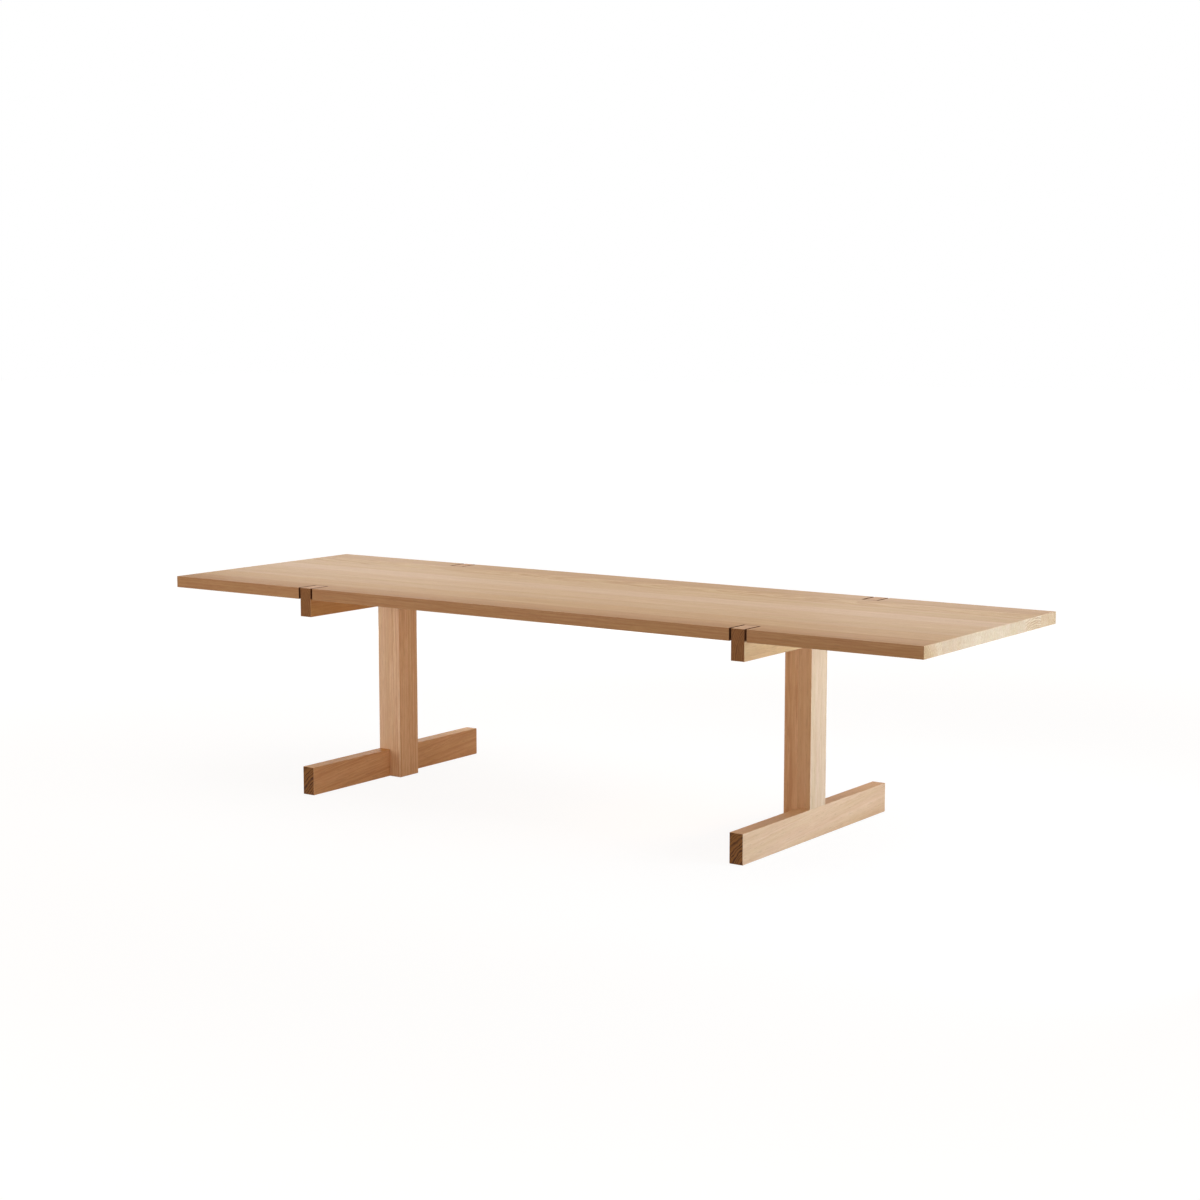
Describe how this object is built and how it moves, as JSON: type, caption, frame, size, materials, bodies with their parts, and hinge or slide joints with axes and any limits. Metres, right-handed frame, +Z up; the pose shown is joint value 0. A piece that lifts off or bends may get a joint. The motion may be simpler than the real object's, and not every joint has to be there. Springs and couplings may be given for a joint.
{
  "type": "trestle dining table",
  "caption": "Long rectangular dining table: a notched solid wood top drops over the upright horns of trestles with a foot bar, a lapped post and a bearer each.",
  "frame": {"origin": "on the floor, under the middle of the table", "axes": "+X along the table to its right end, +Y from the front edge to the back edge, +Z up"},
  "size_m": [3, 0.92, 0.73],
  "materials": {
    "top_wood": "light oiled solid wood, long straight grain",
    "trestle_wood": "light oiled solid wood, straight grain along each board",
    "dowel_wood": "bare hardwood dowel",
    "felt": "pressed felt"
  },
  "bodies": {
    "left_trestle": {"left_foot": "trestle_wood", "left_post_inner_board": "trestle_wood", "left_post_outer_board": "trestle_wood", "left_bearer": "trestle_wood", "left_foot_dowels": "dowel_wood", "left_bearer_dowels": "dowel_wood", "left_foot_glides": "felt"},
    "tabletop": {"top_stave_1": "top_wood", "top_stave_2": "top_wood", "top_stave_3": "top_wood", "top_stave_4": "top_wood", "top_stave_5": "top_wood", "top_stave_6": "top_wood", "top_stave_7": "top_wood", "top_stave_8": "top_wood"},
    "right_trestle": {"right_foot": "trestle_wood", "right_post_inner_board": "trestle_wood", "right_post_outer_board": "trestle_wood", "right_bearer": "trestle_wood", "right_foot_dowels": "dowel_wood", "right_bearer_dowels": "dowel_wood", "right_foot_glides": "felt"}
  },
  "joints": [
    {"name": "tabletop_lift", "type": "slide", "parent": "left_trestle", "child": "tabletop", "axis": [0, 0, 1], "range_m": [0, 0.06]},
    {"name": "right_trestle_stay", "type": "slide", "parent": "tabletop", "child": "right_trestle", "axis": [0, 0, -1], "range_m": [0, 0.06]}
  ],
  "couplings": [
    {"joint": "right_trestle_stay", "follows": "tabletop_lift", "ratio": 1}
  ]
}
